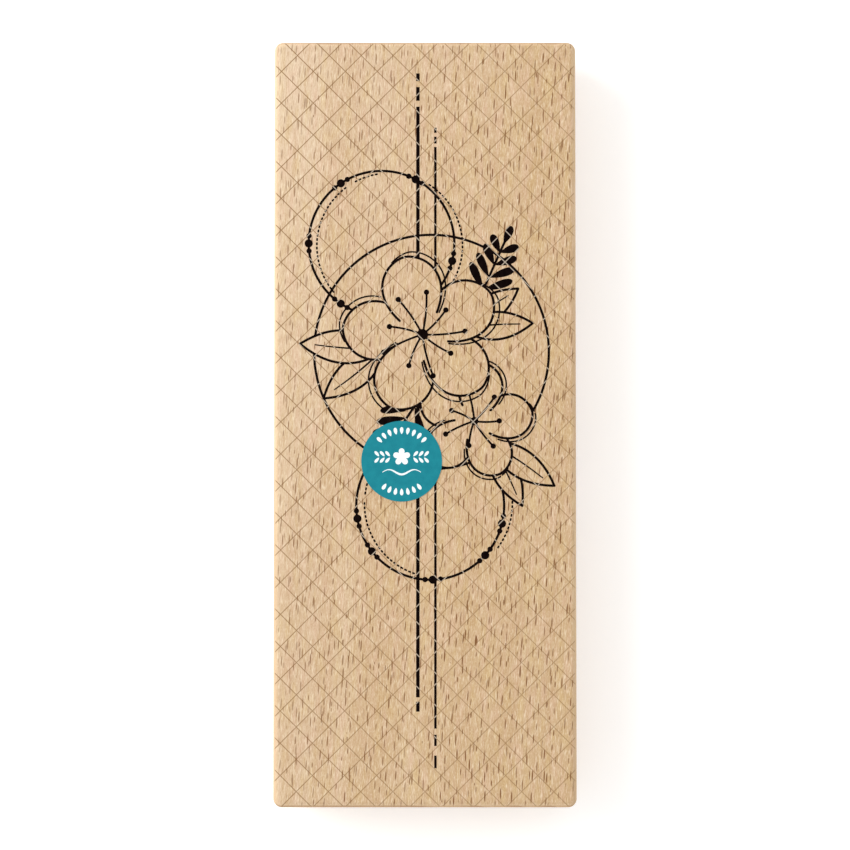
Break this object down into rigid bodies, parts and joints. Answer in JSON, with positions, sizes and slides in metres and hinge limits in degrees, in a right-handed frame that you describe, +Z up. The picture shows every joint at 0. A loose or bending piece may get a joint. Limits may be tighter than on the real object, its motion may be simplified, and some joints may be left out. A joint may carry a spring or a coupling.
{
  "type": "rubber stamp",
  "caption": "Wood-mounted craft rubber stamp: beech block with an index picture and a round label over a foam-cushioned relief die.",
  "frame": {"origin": "centre of the printing face, where the die's raised lines meet the paper", "axes": "+Z up from the printing face to the index picture; +Y along the long side, towards the top of the picture; +X across it, to the picture's right"},
  "size_m": [0.07, 0.1774, 0.0257],
  "materials": {
    "beech": "satin",
    "index_ink": "matte printed ink film",
    "adhesive_film": "clear film with a soft sheen",
    "label_paper": "semi-gloss coated paper",
    "label_ink": "matte printed ink film",
    "cushion_foam": "fine closed-cell foam",
    "die_rubber": "smooth moulded rubber"
  },
  "bodies": {
    "block": {"wood_block": "beech", "index_large_blossom": "index_ink", "index_small_blossom": "index_ink", "index_leaves": "index_ink", "index_sprigs": "index_ink", "index_upper_ring": "index_ink", "index_lower_ring": "index_ink", "index_large_ring": "index_ink", "index_upright_lines": "index_ink", "label_adhesive": "adhesive_film", "label_paper": "label_paper", "label_print": "label_ink", "mount_adhesive": "adhesive_film", "cushion_foam": "cushion_foam"},
    "die": {"die_adhesive": "adhesive_film", "rubber_die": "die_rubber"}
  },
  "joints": [
    {"name": "cushion_press", "type": "slide", "parent": "block", "child": "die", "axis": [0, 0, 1], "range_m": [0, 0.001], "stiffness_N_per_m": 20000, "deforming": ["cushion_foam"]}
  ]
}
